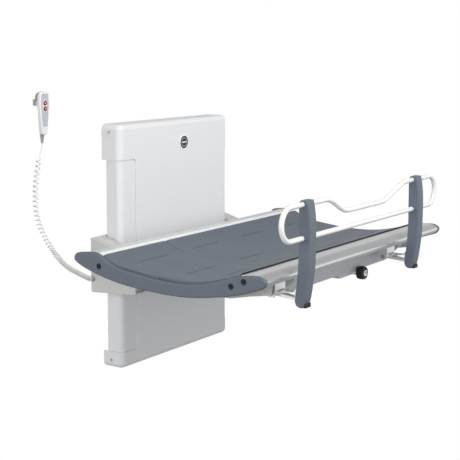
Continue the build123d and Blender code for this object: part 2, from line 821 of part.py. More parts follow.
hub_radius = 9.5
arm_upper_z = -12.0
arm_lower_z = -58.0
for name, x in post_xs:
    x_mid = x + bracket_shift
    hub_from = x_mid - bracket_reach + cheek + 0.5
    hub_to = x_mid + bracket_reach - cheek - 0.5
    with BuildPart() as guard_arm:
        with BuildSketch(Plane.YZ.offset(hub_from)):
            with Locations((guard_pivot_y, guard_pivot_z)):
                Circle(hub_radius)
        extrude(amount=hub_to - hub_from)
        with BuildSketch(Plane.YZ.offset(x - 13)):
            with BuildLine():
                Polyline(
                    (guard_pivot_y, guard_pivot_z + hub_radius),
                    (table_front - 8, guard_pivot_z + hub_radius),
                    (post_rear(arm_upper_z), arm_upper_z),
                    (post_rear(arm_lower_z), arm_lower_z),
                    (guard_pivot_y, guard_pivot_z - hub_radius),
                    close=True,
                )
            make_face()
            with BuildLine():
                Polyline(
                    (guard_pivot_y - 24, guard_pivot_z),
                    (post_rear_y + 19, guard_pivot_z + 10),
                    (post_rear_y + 19, guard_pivot_z - 8),
                    close=True,
                )
            make_face(mode=Mode.SUBTRACT)
        extrude(amount=26)
        with BuildSketch(Plane.YZ.offset(hub_from)):
            with Locations((guard_pivot_y, guard_pivot_z)):
                Circle(guard_pin_radius + pin_clearance)
        extrude(amount=hub_to - hub_from, mode=Mode.SUBTRACT)
    save(guard_arm, f"guard_arm_{name}")

tube_low = 147.0
tube_top = 256.5
tube_dip = 203.0
tube_overhang_left = 156.0
tube_overhang_right = 186.0
tube_fit = 0.15
post_rear_line = ((9, -73), (14, -60), (7, -4), (3, 39), (0, 90), (0, 262), (-7, 271))
post_front_line = ((-30, 271), (-37, 236), (-40, 202), (-40, 99), (-38, 50), (-31, -5), (-20, -62),
                   (-14, -79))
post_foot = -79.0
foot_width = 31.0
foot_depth = 14.0
foot_height = 14.0
for name, x in post_xs:
    with BuildPart() as guard_post:
        with BuildSketch(Plane.YZ.offset(x - post_width / 2)):
            with BuildLine():
                rear = Polyline((post_rear_y - 3, post_foot),
                                *[(post_rear_y + dy, z) for dy, z in post_rear_line])
                nose = Spline(*[(post_rear_y + dy, z) for dy, z in post_front_line])
                Line(rear @ 1, nose @ 0)
                Line(nose @ 1, rear @ 0)
            make_face()
        extrude(amount=post_width)
        front_face = guard_post.faces().filter_by(GeomType.EXTRUSION)
        fillet(front_face.edges().filter_by(GeomType.BSPLINE), 5)
        fillet(guard_post.edges().group_by(Axis.Z)[-1].sort_by(Axis.Y)[0], 4)
        # tube holes
        for z in (tube_low, tube_top):
            with BuildSketch(Plane.YZ.offset(x - post_width)):
                with Locations((tube_y, z)):
                    Circle(tube_radius + tube_fit)
            extrude(amount=2 * post_width, mode=Mode.SUBTRACT)
        # pocket for the rubber foot
        with BuildSketch(Plane.XY.offset(post_foot - 5)):
            with Locations((x + 3.5, post_rear_y - 15)):
                Rectangle(foot_width, foot_depth)
        extrude(amount=foot_height + 4, mode=Mode.SUBTRACT)
    save(guard_post, f"guard_post_{name}")

with BuildPart() as post_feet:
    for _, x in post_xs:
        with BuildSketch(Plane.XY.offset(post_foot - 1)):
            with Locations((x + 3.5, post_rear_y - 15)):
                Rectangle(foot_width, foot_depth)
        extrude(amount=foot_height)
save(post_feet, "post_feet")

tube_from = post_xs[0][1] - tube_overhang_left + tube_radius
tube_to = post_xs[1][1] + tube_overhang_right - tube_radius
tube_end_bend = (tube_top - tube_low) / 2 - 1
tube_dip_bend = 120.0
dip_start, dip_floor_from, dip_floor_to, dip_end = -338.0, -235.0, 53.0, 212.0
with BuildPart() as guard_tube:
    with BuildLine(Plane.XZ.offset(-tube_y)) as tube_path:
        FilletPolyline(
            (tube_from, tube_low), (tube_to, tube_low), (tube_to, tube_top), (dip_end, tube_top),
            (dip_floor_to, tube_dip), (dip_floor_from, tube_dip), (dip_start, tube_top),
            (tube_from, tube_top),
            radius=[tube_end_bend] * 3 + [tube_dip_bend] * 4 + [tube_end_bend],
            close=True,
        )
    with BuildSketch(Plane(tube_path.wire() @ 0, z_dir=tube_path.wire() % 0)):
        Circle(tube_radius)
    sweep()
save(guard_tube, "guard_tube")

# ================= handset on the wall =================
handset_x = -704.0
handset_low = 450.0
handset_top = 601.0
handset_front = -50.0
handset_split = -40.0
handset_rear_top = -37.0
handset_rear_low = -31.0
handset_wall = 2.0
panel_sink = 1.0
hook_radius = 6.0
hook_back_y = -11.0
hook_z = 592.0
hook_leg_low = 556.0
hook_bend = 16.0
hook_seat = 0.02
holder_width = 18.0
button_zs = (("up", 560.0), ("down", 541.5))
outline = ((11.5, handset_low), (18.5, 500.0), (23.0, 545.0), (24.0, 570.0), (22.0, 590.0),
           (14.0, handset_top))
film = ((10.0, 479.0), (13.5, 500.0), (17.5, 545.0), (18.0, 565.0), (15.0, 592.0))


def tapered(points, inset, corner):
    """Shape symmetric about the handset's middle from (half width, z) points, inset and rounded."""
    low, high = points[0][1] + inset, points[-1][1] - inset
    right = [(handset_x + half - inset, min(max(z, low), high)) for half, z in points]
    left = [(2 * handset_x - x, z) for x, z in reversed(right)]
    with BuildSketch() as section:
        with BuildLine():
            Polyline(*right, *left, close=True)
        make_face()
        fillet(section.vertices(), corner - inset)
    return section.sketch


def back_half(inset):
    """Rear half of the handset, inset from its skin: thicker towards the cord."""
    with BuildPart() as body:
        with BuildSketch(Plane.XZ.offset(-handset_rear_low)):
            add(tapered(outline, inset, 6))
        extrude(amount=handset_rear_low - handset_split)
        with BuildSketch(Plane.YZ.offset(handset_x - 40)):
            with BuildLine():
                Polyline((handset_split, handset_low), (handset_split, handset_top),
                         (handset_rear_top - inset, handset_top), (handset_rear_low - inset, handset_low),
                         close=True)
            make_face()
        extrude(amount=80, mode=Mode.INTERSECT)
    return body.part


with BuildPart() as handset_front_shell:
    with BuildSketch(Plane.XZ.offset(-handset_split)):
        add(tapered(outline, 0, 6))
    extrude(amount=handset_split - handset_front)
    fillet(handset_front_shell.faces().sort_by(Axis.Y)[0].edges(), 3)
    with BuildSketch(Plane.XZ.offset(-handset_split)):
        add(tapered(outline, handset_wall, 6))
    extrude(amount=handset_split - handset_front - handset_wall - panel_sink, mode=Mode.SUBTRACT)
    with BuildSketch(Plane.XZ.offset(-handset_front - panel_sink)):
        add(tapered(film, 0, 3))
    extrude(amount=5, mode=Mode.SUBTRACT)
    for _, z in button_zs:
        with BuildSketch(Plane.XZ.offset(-handset_split)):
            with Locations((handset_x, z)):
                Circle(button_radius + button_gap)
        extrude(amount=20, mode=Mode.SUBTRACT)
save(handset_front_shell, "handset_front")

with BuildPart() as handset_panel:
    with BuildSketch(Plane.XZ.offset(-handset_front - panel_sink)):
        add(tapered(film, 0, 3))
        for _, z in button_zs:
            with Locations((handset_x, z)):
                Circle(button_radius + button_gap, mode=Mode.SUBTRACT)
    extrude(amount=panel_sink + 0.3)
save(handset_panel, "handset_panel")

with BuildPart() as handset_back_shell:
    add(back_half(0))
    fillet(handset_back_shell.faces().sort_by(Axis.Y)[-1].edges(), 3)
    add(back_half(handset_wall), mode=Mode.SUBTRACT)
save(handset_back_shell, "handset_back")

def rear_skin(z):
    """Y of the handset's sloping rear face at a height."""
    share = (handset_top - z) / (handset_top - handset_low)
    return handset_rear_top + share * (handset_rear_low - handset_rear_top)


# round hook that curls over the wall holder
with BuildPart() as handset_hook:
    with BuildLine() as hook_line:
        FilletPolyline((handset_x, rear_skin(hook_z - hook_radius) + hook_seat, hook_z),
                       (handset_x, hook_back_y, hook_z), (handset_x, hook_back_y, hook_leg_low),
                       radius=hook_bend)
    with BuildSketch(Plane(hook_line.wire() @ 0, z_dir=hook_line.wire() % 0)):
        Circle(hook_radius)
    sweep()
save(handset_hook, "handset_hook")

holder_front = hook_back_y - hook_radius
with BuildPart() as handset_holder:
    with BuildSketch(Plane.YZ.offset(handset_x - holder_width / 2)):
        with BuildLine():
            Polyline((0, hook_leg_low - 8), (0, hook_leg_low + 16), (-3, hook_leg_low + 16),
                     (-3, hook_leg_low - 5), (holder_front - 0.5, hook_leg_low - 5),
                     (holder_front - 0.5, hook_leg_low + 10), (holder_front - 3, hook_leg_low + 10),
                     (holder_front - 3, hook_leg_low - 8), close=True)
        make_face()
    extrude(amount=holder_width)
save(handset_holder, "handset_holder")

board_front = -42.0
board_wall = 1.6
with BuildPart() as handset_board:
    with BuildSketch(Plane.XZ.offset(-board_front - board_wall)):
        with Locations((handset_x, 545)):
            Rectangle(32, 60)
    extrude(amount=board_wall)
    for _, z in button_zs:
        with BuildSketch(Plane.XZ.offset(-board_front)):
            with Locations((handset_x, z)):
                Circle(2)
        extrude(amount=1.1)
save(handset_board, "handset_board")

button_rear = -44.5
flange_rear = -45.7
for name, z in button_zs:
    with BuildPart() as button:
        with BuildSketch(Plane.XZ.offset(-button_rear)):
            with Locations((handset_x, z)):
                Circle(button_radius)
        extrude(amount=7.5)
        fillet(button.faces().sort_by(Axis.Y)[0].edges(), 1.4)
        with BuildSketch(Plane.XZ.offset(-flange_rear)):
            with Locations((handset_x, z)):
                Circle(button_radius + 1.6)
        extrude(amount=1.2)
    save(button, f"button_{name}")

relief_length = 30.0
cord_radius = 2.5
cord_y = -34.0
with BuildPart() as strain_relief:
    with BuildSketch(Plane.XY.offset(handset_low)):
        with Locations((handset_x, cord_y)):
            Circle(7.5)
    with BuildSketch(Plane.XY.offset(handset_low - relief_length)):
        with Locations((handset_x, cord_y)):
            Circle(3.8)
    loft()
save(strain_relief, "strain_relief")

# ================= curly cord =================
coil_radius = 10.0
gland_y = -13.5
gland_z = -112.0
gland_length = 6.0
with BuildPart() as cord_gland:
    with BuildSketch(Plane.YZ.offset(-arm_outer)):
        with Locations((gland_y, gland_z)):
            Circle(8)
    with BuildSketch(Plane.YZ.offset(-arm_outer - gland_length)):
        with Locations((gland_y, gland_z)):
            Circle(7)
    loft()
save(cord_gland, "cord_gland")

lead_points = [
    (handset_x, cord_y, handset_low - relief_length), (-705, -33.8, 408), (-710, -33.2, 391),
    (-716, -32.6, 372),
]
coil_points = [
    (-716, -32.6, 372), (-727, -31, 331), (-735, -29.2, 280), (-736.5, -27.6, 235), (-733.5, -26.2, 192),
    (-721, -24.4, 143.5), (-700, -22.8, 106), (-677, -21.3, 70.5), (-643.5, -19.5, 29),
    (-598, -17.7, -18), (-556.7, -16.5, -48.7), (-506, -15.3, -75.4), (-462, -14.2, -98),
    (-432, -13.5, -112),
]


def bend_radii(points):
    """Radius at each inner point of a route: 0.45 of its shorter run over tan(half turn)."""
    radii = []
    for a, b, c in zip(points, points[1:], points[2:]):
        before = Vector(b) - Vector(a)
        after = Vector(c) - Vector(b)
        half_turn = math.radians(before.get_angle(after)) / 2
        radii.append(0.45 * min(before.length, after.length) / math.tan(half_turn))
    return radii


for name, points, radius in (("cord_lead", lead_points, cord_radius),
                             ("cord_coil", coil_points, coil_radius)):
    with BuildPart() as cord:
        with BuildLine() as route:
            FilletPolyline(*points, radius=bend_radii(points))
        with BuildSketch(Plane(route.wire() @ 0, z_dir=route.wire() % 0)):
            Circle(radius)
        sweep()
    save(cord, name)
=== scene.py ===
"""Looks of a wall-mounted changing table: finishes, mats, curly cord, small details and a plain studio."""
import json
import logging
import math
from dataclasses import dataclass, field
from enum import Enum

import bmesh
import bpy
from mathutils import Euler, Matrix, Vector


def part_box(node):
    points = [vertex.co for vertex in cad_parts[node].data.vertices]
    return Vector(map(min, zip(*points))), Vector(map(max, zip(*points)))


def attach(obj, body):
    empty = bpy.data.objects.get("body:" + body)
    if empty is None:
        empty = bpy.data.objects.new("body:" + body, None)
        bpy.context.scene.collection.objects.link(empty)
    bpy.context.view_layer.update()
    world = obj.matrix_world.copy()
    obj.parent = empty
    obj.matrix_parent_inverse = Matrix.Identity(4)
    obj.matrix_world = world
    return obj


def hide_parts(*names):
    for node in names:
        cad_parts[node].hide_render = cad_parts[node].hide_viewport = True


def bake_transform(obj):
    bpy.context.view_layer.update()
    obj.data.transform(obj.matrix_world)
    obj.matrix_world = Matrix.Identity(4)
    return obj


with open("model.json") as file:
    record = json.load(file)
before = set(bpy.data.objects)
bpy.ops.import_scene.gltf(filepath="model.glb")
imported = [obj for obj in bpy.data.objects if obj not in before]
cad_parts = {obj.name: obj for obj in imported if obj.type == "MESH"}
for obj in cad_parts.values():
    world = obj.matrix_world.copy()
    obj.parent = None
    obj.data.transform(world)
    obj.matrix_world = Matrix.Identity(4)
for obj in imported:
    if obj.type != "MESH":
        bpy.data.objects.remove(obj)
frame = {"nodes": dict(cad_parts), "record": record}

MM = 0.001
LOG = logging.getLogger("changing_table")
Triple = tuple[float, float, float]


# ---------------------------------------------------------------- helpers
def linear(colour: str) -> tuple[float, float, float, float]:
    """Turns an sRGB hex colour, such as #e6e7e9, into linear red, green, blue and alpha."""
    shares = [int(colour[i:i + 2], 16) / 255 for i in (1, 3, 5)]
    return (*[c / 12.92 if c <= 0.04045 else ((c + 0.055) / 1.055) ** 2.4 for c in shares], 1.0)


def add_node(tree: bpy.types.NodeTree, kind: str, inputs: dict | None = None, **settings) -> bpy.types.Node:
    """Adds a node, sets its properties and fills or links its inputs.

    Args:
        tree: The node tree that gets the node.
        kind: The node's type name.
        inputs: Socket name or number to a value, or to an output socket to link from.
        **settings: The node's own properties.

    Returns:
        The new node.
    """
    node = tree.nodes.new(kind)
    for key, value in settings.items():
        setattr(node, key, value)
    for key, value in (inputs or {}).items():
        if isinstance(value, bpy.types.NodeSocket):
            tree.links.new(value, node.inputs[key])
        else:
            node.inputs[key].default_value = value
    return node


def mesh_piece(name: str, mesh: bpy.types.Mesh, material: bpy.types.Material) -> bpy.types.Object:
    """Puts a mesh in the scene as one finished piece with one material."""
    mesh.materials.clear()
    mesh.materials.append(material)
    piece = bpy.data.objects.new(name, mesh)
    bpy.context.scene.collection.objects.link(piece)
    return piece


def smooth(mesh: bpy.types.Mesh, angle: float = 40.0) -> None:
    """Shades a mesh smooth, apart from edges that turn by more than the angle in degrees."""
    mesh.shade_smooth()
    mesh.set_sharp_from_angle(angle=math.radians(angle))


def settle(piece: bpy.types.Object, body: str, slot: str, *replaced: str) -> None:
    """Fixes a finished piece to its body and hides the CAD nodes that it stands for."""
    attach(piece, body)
    if replaced:
        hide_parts(*replaced)
    LOG.info("%s rides on %s", piece.name, body)


# ---------------------------------------------------------------- finishes
class Grain(Enum):
    """How a surface was made, which decides its relief."""

    MOULDED = "spark-eroded mould face"
    SPRAYED = "sprayed and baked coat"
    DRAWN = "die lines along X"
    PEBBLED = "pebbled foam skin"
    TURNED = "rings from a lathe or a draw bench"


@dataclass(frozen=True)
class Finish:
    """A solid finish with a drifting tone, uneven gloss and a relief of a known size.

    Attributes:
        name: What a maker calls the finish.
        colour: sRGB hex of its middle tone.
        roughness: Mean roughness.
        grain: How the surface was made.
        grain_mm: Size of one grain.
        relief_mm: Height of the grain.
        drift: Share by which the tone wanders across the part.
        metallic: 1 on bare metal.
        coat: Weight of a clear layer.
        edge_mm: Radius that softens the part's sharp edges in shading.
    """

    name: str
    colour: str
    roughness: float
    grain: Grain
    grain_mm: float
    relief_mm: float
    drift: float = 0.03
    metallic: float = 0.0
    coat: float = 0.0
    edge_mm: float = 0.8

    def relief(self, tree: bpy.types.NodeTree, place: bpy.types.NodeSocket) -> bpy.types.NodeSocket:
        """Builds the height pattern of the grain.

        Args:
            tree: The material's node tree.
            place: Object coordinates in metres.

        Returns:
            The height, from 0 to 1.
        """
        scale = 1 / (self.grain_mm * MM)
        if self.grain is Grain.PEBBLED:
            cells = add_node(tree, "ShaderNodeTexVoronoi",
                             {"Vector": place, "Scale": scale, "Smoothness": 0.6}, feature="SMOOTH_F1")
            return cells.outputs["Distance"]
        if self.grain in (Grain.DRAWN, Grain.TURNED):
            stretch = (0.02, 1.0, 1.0) if self.grain is Grain.DRAWN else (1.0, 1.0, 0.15)
            place = add_node(tree, "ShaderNodeMapping", {"Vector": place, "Scale": stretch}).outputs[0]
        noise = add_node(tree, "ShaderNodeTexNoise", {"Vector": place, "Scale": scale, "Detail": 3.0})
        return noise.outputs[0]

    def build(self) -> bpy.types.Material:
        """Makes the material's nodes and returns the material."""
        material = bpy.data.materials.new(self.name)
        material.use_nodes = True
        tree = material.node_tree
        tree.nodes.clear()
        place = add_node(tree, "ShaderNodeTexCoord").outputs["Object"]
        cloud = add_node(tree, "ShaderNodeTexNoise",
                         {"Vector": place, "Scale": 6.0, "Detail": 4.0}).outputs[0]
        tone = linear(self.colour)
        ends = [tuple(min(1.0, c * (1 + sign * self.drift)) for c in tone[:3]) + (1.0,) for sign in (-1, 1)]
        colour = add_node(tree, "ShaderNodeMix", {0: cloud, 6: ends[0], 7: ends[1]}, data_type="RGBA")
        height = self.relief(tree, place)
        gloss = add_node(tree, "ShaderNodeMapRange", {"Value": cloud, "From Min": 0.3, "From Max": 0.7,
                                                      "To Min": self.roughness - 0.03,
                                                      "To Max": self.roughness + 0.04})
        edge = add_node(tree, "ShaderNodeBevel", {"Radius": self.edge_mm * MM}, samples=4)
        bump = add_node(tree, "ShaderNodeBump", {"Height": height, "Distance": self.relief_mm * MM,
                                                 "Strength": 1.0, "Normal": edge.outputs[0]})
        shader = add_node(tree, "ShaderNodeBsdfPrincipled", {"Base Color": colour.outputs[2],
                                                             "Roughness": gloss.outputs[0],
                                                             "Normal": bump.outputs[0]})
        shader.inputs["Metallic"].default_value = self.metallic
        shader.inputs["Coat Weight"].default_value = self.coat
        shader.inputs["Coat Roughness"].default_value = 0.12
        add_node(tree, "ShaderNodeOutputMaterial", {"Surface": shader.outputs[0]})
        return material


# Each slot of the record gets the finish of what the real part is made of.
FINISHES: dict[str, Finish] = {
    # satin ABS from an etched mould: soft, wide highlights and no mirror image
    "cover_white": Finish("satin moulded ABS", "#dddee0", 0.42, Grain.MOULDED, 1.6, 0.02, drift=0.012),
    # bright zinc over rolled sheet: cool grey with faint crystal clouds
    "zinc_steel": Finish("zinc plated sheet steel", "#b9bcc0", 0.38, Grain.SPRAYED, 5.0, 0.03, 0.06, 1.0),
    "screw_steel": Finish("rolled thread steel", "#a9abae", 0.3, Grain.TURNED, 1.5, 0.05, 0.04, 1.0),
    "bronze": Finish("machined bearing bronze", "#b58a4a", 0.32, Grain.TURNED, 1.2, 0.04, 0.05, 1.0),
    # extruded and clear anodised: silky, with die lines that stretch the highlights along X
    "aluminium_bare": Finish("anodised extruded aluminium", "#eeeff0", 0.38, Grain.DRAWN, 2.0, 0.02,
                             drift=0.02, metallic=1.0),
    # polyester powder: slight orange peel, drawn 6 mm across so that it shows
    "arm_grey_paint": Finish("light grey powder coat", "#c8c8c7", 0.4, Grain.SPRAYED, 6.0, 0.05, 0.02),
    "motor_paint": Finish("black baked motor enamel", "#26282b", 0.35, Grain.SPRAYED, 4.0, 0.04, 0.05),
    # glass-filled nylon, moulded: blue grey with a dull sheen
    "slate_plastic": Finish("slate moulded nylon", "#5f6873", 0.46, Grain.MOULDED, 2.4, 0.04, edge_mm=1.2),
    # integral foam skin: leathery pebble, drawn 5 mm across so that it shows
    "mat_plastic": Finish("polyurethane foam skin", "#606973", 0.5, Grain.PEBBLED, 5.0, 0.12, 0.03),
    "tray_grey": Finish("vacuum formed grey ABS", "#bfc1c6", 0.45, Grain.MOULDED, 3.0, 0.05, 0.02),
    "black_rubber": Finish("black moulded rubber", "#1b1c1e", 0.6, Grain.MOULDED, 2.0, 0.05, 0.05),
    "black_plastic": Finish("black glass-filled plastic", "#17181a", 0.4, Grain.MOULDED, 2.0, 0.04, 0.05),
    # white polyester powder on steel tube: glossy with a trace of orange peel
    "white_powder_coat": Finish("white powder coat", "#ececea", 0.26, Grain.SPRAYED, 6.0, 0.03,
                                drift=0.01, coat=0.3),
    "handset_blue": Finish("printed blue grey film", "#aeb6bd", 0.3, Grain.SPRAYED, 3.0, 0.01,
                           drift=0.01, coat=0.4),
    "button_red": Finish("red silicone key", "#960a0d", 0.4, Grain.MOULDED, 1.0, 0.01, 0.02),
    "board_green": Finish("green solder mask", "#1f5a35", 0.35, Grain.SPRAYED, 2.0, 0.02, 0.05, coat=0.3),
    "relief_grey": Finish("grey flexible vinyl", "#9b9b9c", 0.45, Grain.MOULDED, 1.2, 0.03,
                          drift=0.02, edge_mm=0.3),
    # plasticised vinyl jacket: milky, smooth and a little glossy
    "cord_white": Finish("white vinyl jacket", "#dededc", 0.36, Grain.SPRAYED, 3.0, 0.01, 0.02, edge_mm=0.2),
}


@dataclass
class Palette:
    """The materials, one for each slot of the record, made on first use."""

    made: dict[str, bpy.types.Material] = field(default_factory=dict)

    def of(self, slot: str) -> bpy.types.Material:
        """Returns the material of a slot."""
        if slot not in self.made:
            self.made[slot] = FINISHES[slot].build()
        return self.made[slot]

    def dress_frame(self) -> None:
        """Gives every CAD node the material of its slot."""
        for part in frame["record"]["subparts"]:
            node = frame["nodes"][part["node"]]
            material = self.of(part["material_slot"])
            if not node.material_slots:
                node.data.materials.append(material)
            for place in node.material_slots:
                place.material = material


# ---------------------------------------------------------------- curly cord
@dataclass
class CurlyCord:
    """The handset's curly cord: a short straight lead, a stretched coil that hangs, and a tight coil.

    Attributes:
        lead: The straight stretch below the handset, in millimetres.
        coil: The axis of the coil, down to the gland on the left arm.
    """

    palette: Palette
    wire: float = 5.0 * MM
    turn_radius: float = 7.5 * MM
    open_pitch: float = 17.5 * MM
    tight_pitch: float = 7.75 * MM
    open_share: float = 0.50
    tight_share: float = 0.68
    ramp: float = 14.0 * MM
    end_ramp: float = 7.0 * MM
    steps_per_turn: int = 16
    lead: tuple[Triple, ...] = ((-704, -34, 420), (-705, -33.8, 408), (-710, -33.2, 391))
    coil: tuple[Triple, ...] = (
        (-716, -32.6, 372), (-727, -31, 331), (-735, -29.2, 280), (-736.5, -27.6, 235),
        (-733.5, -26.2, 192), (-721, -24.4, 143.5), (-700, -22.8, 106), (-677, -21.3, 70.5),
        (-643.5, -19.5, 29), (-598, -17.7, -18), (-556.7, -16.5, -48.7), (-506, -15.3, -75.4),
        (-462, -14.2, -98), (-432, -13.5, -112),
    )

    def route(self) -> list[Vector]:
        """Reads points from the smooth curve that the cord's axis follows."""
        curve = bpy.data.curves.new("cord_route", "CURVE")
        curve.dimensions = "3D"
        curve.resolution_u = 24
        spline = curve.splines.new("NURBS")
        points = [Vector(p) * MM for p in self.lead + self.coil]
        spline.points.add(len(points) - 1)
        for knot, point in zip(spline.points, points):
            knot.co = (*point, 1.0)
        spline.order_u = 3
        spline.use_endpoint_u = True
        holder = bpy.data.objects.new("cord_route", curve)
        bpy.context.scene.collection.objects.link(holder)
        line = bpy.data.meshes.new_from_object(holder)
        found = [v.co.copy() for v in line.vertices]
        bpy.data.objects.remove(holder)
        bpy.data.meshes.remove(line)
        return found

    def centreline(self) -> list[Vector]:
        """Winds the helix round the route and returns the wire's centreline."""
        axis = self.route()
        lengths = [0.0]
        for a, b in zip(axis, axis[1:]):
            lengths.append(lengths[-1] + (b - a).length)
        top = Vector(self.coil[0]) * MM
        start = min(range(len(axis)), key=lambda i: (axis[i] - top).length)
        lead_end, full = lengths[start], lengths[-1]
        span = full - lead_end
        step = self.tight_pitch / self.steps_per_turn
        wound = [p for p, s in zip(axis, lengths) if s < lead_end]
        side = Vector((0.0, -1.0, 0.0))
        phase, s, at = math.pi, lead_end, start
        while s < full - step / 2:
            while at < len(axis) - 2 and lengths[at + 1] < s:
                at += 1
            along = (axis[at + 1] - axis[at]).normalized()
            middle = axis[at] + along * (s - lengths[at])
            side = (side - along * side.dot(along)).normalized()
            up = along.cross(side)
            share = (s - lead_end) / span
            ease = min(1.0, max(0.0, (share - self.open_share) / (self.tight_share - self.open_share)))
            pitch = self.open_pitch + (self.tight_pitch - self.open_pitch) * ease * ease * (3 - 2 * ease)
            reach = min(1.0, (s - lead_end) / self.ramp, (full - s) / self.end_ramp)
            radius = self.turn_radius * reach * reach * (3 - 2 * reach)
            wound.append(middle + (side * math.cos(phase) + up * math.sin(phase)) * radius)
            phase += 2 * math.pi * step / pitch
            s += step
        wound.append(axis[-1])
        return wound

    def build(self) -> None:
        line = self.centreline()
        cord = mesh_piece("curly_cord", tube_mesh("curly_cord", line, self.wire / 2, 10),
                          self.palette.of("cord_white"))
        smooth(cord.data, 60)
        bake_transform(cord)
        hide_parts("cord_lead", "cord_coil")


def tube_mesh(name: str, line: list[Vector], radius: float, sides: int) -> bpy.types.Mesh:
    """Sweeps a circle along a line of points and closes both ends.

    Args:
        name: The mesh's name.
        line: The centreline, in metres.
        radius: The tube's radius.
        sides: Corners of the circle.

    Returns:
        A closed mesh.
    """
    made = bmesh.new()
    side = Vector((0.31, 0.87, 0.38))
    rings = []
    for i, point in enumerate(line):
        along = (line[min(i + 1, len(line) - 1)] - line[max(i - 1, 0)]).normalized()
        side = (side - along * side.dot(along)).normalized()
        up = along.cross(side)
        turns = [2 * math.pi * k / sides for k in range(sides)]
        spokes = [side * math.cos(t) + up * math.sin(t) for t in turns]
        rings.append([made.verts.new(point + spoke * radius) for spoke in spokes])
    for one, two in zip(rings, rings[1:]):
        for k in range(sides):
            made.faces.new((one[k], one[(k + 1) % sides], two[(k + 1) % sides], two[k]))
    made.faces.new(rings[0][::-1])
    made.faces.new(rings[-1])
    bmesh.ops.recalc_face_normals(made, faces=made.faces)
    mesh = bpy.data.meshes.new(name)
    made.to_mesh(mesh)
    made.free()
    return mesh


# ---------------------------------------------------------------- lying surface
NEAR_SLOTS = (-0.457,)
FAR_SLOTS = (-0.140, 0.177, 0.494)


def surface_height(node: str, x: float, y: float) -> float:
    """Reads the top of a CAD node at a place."""
    hit, place, _, _ = frame["nodes"][node].ray_cast(Vector((x, y, 1.0)), Vector((0, 0, -1.0)))
    if not hit:
        raise ValueError(f"{node} has nothing at {x:.3f}, {y:.3f}")
    return place.z


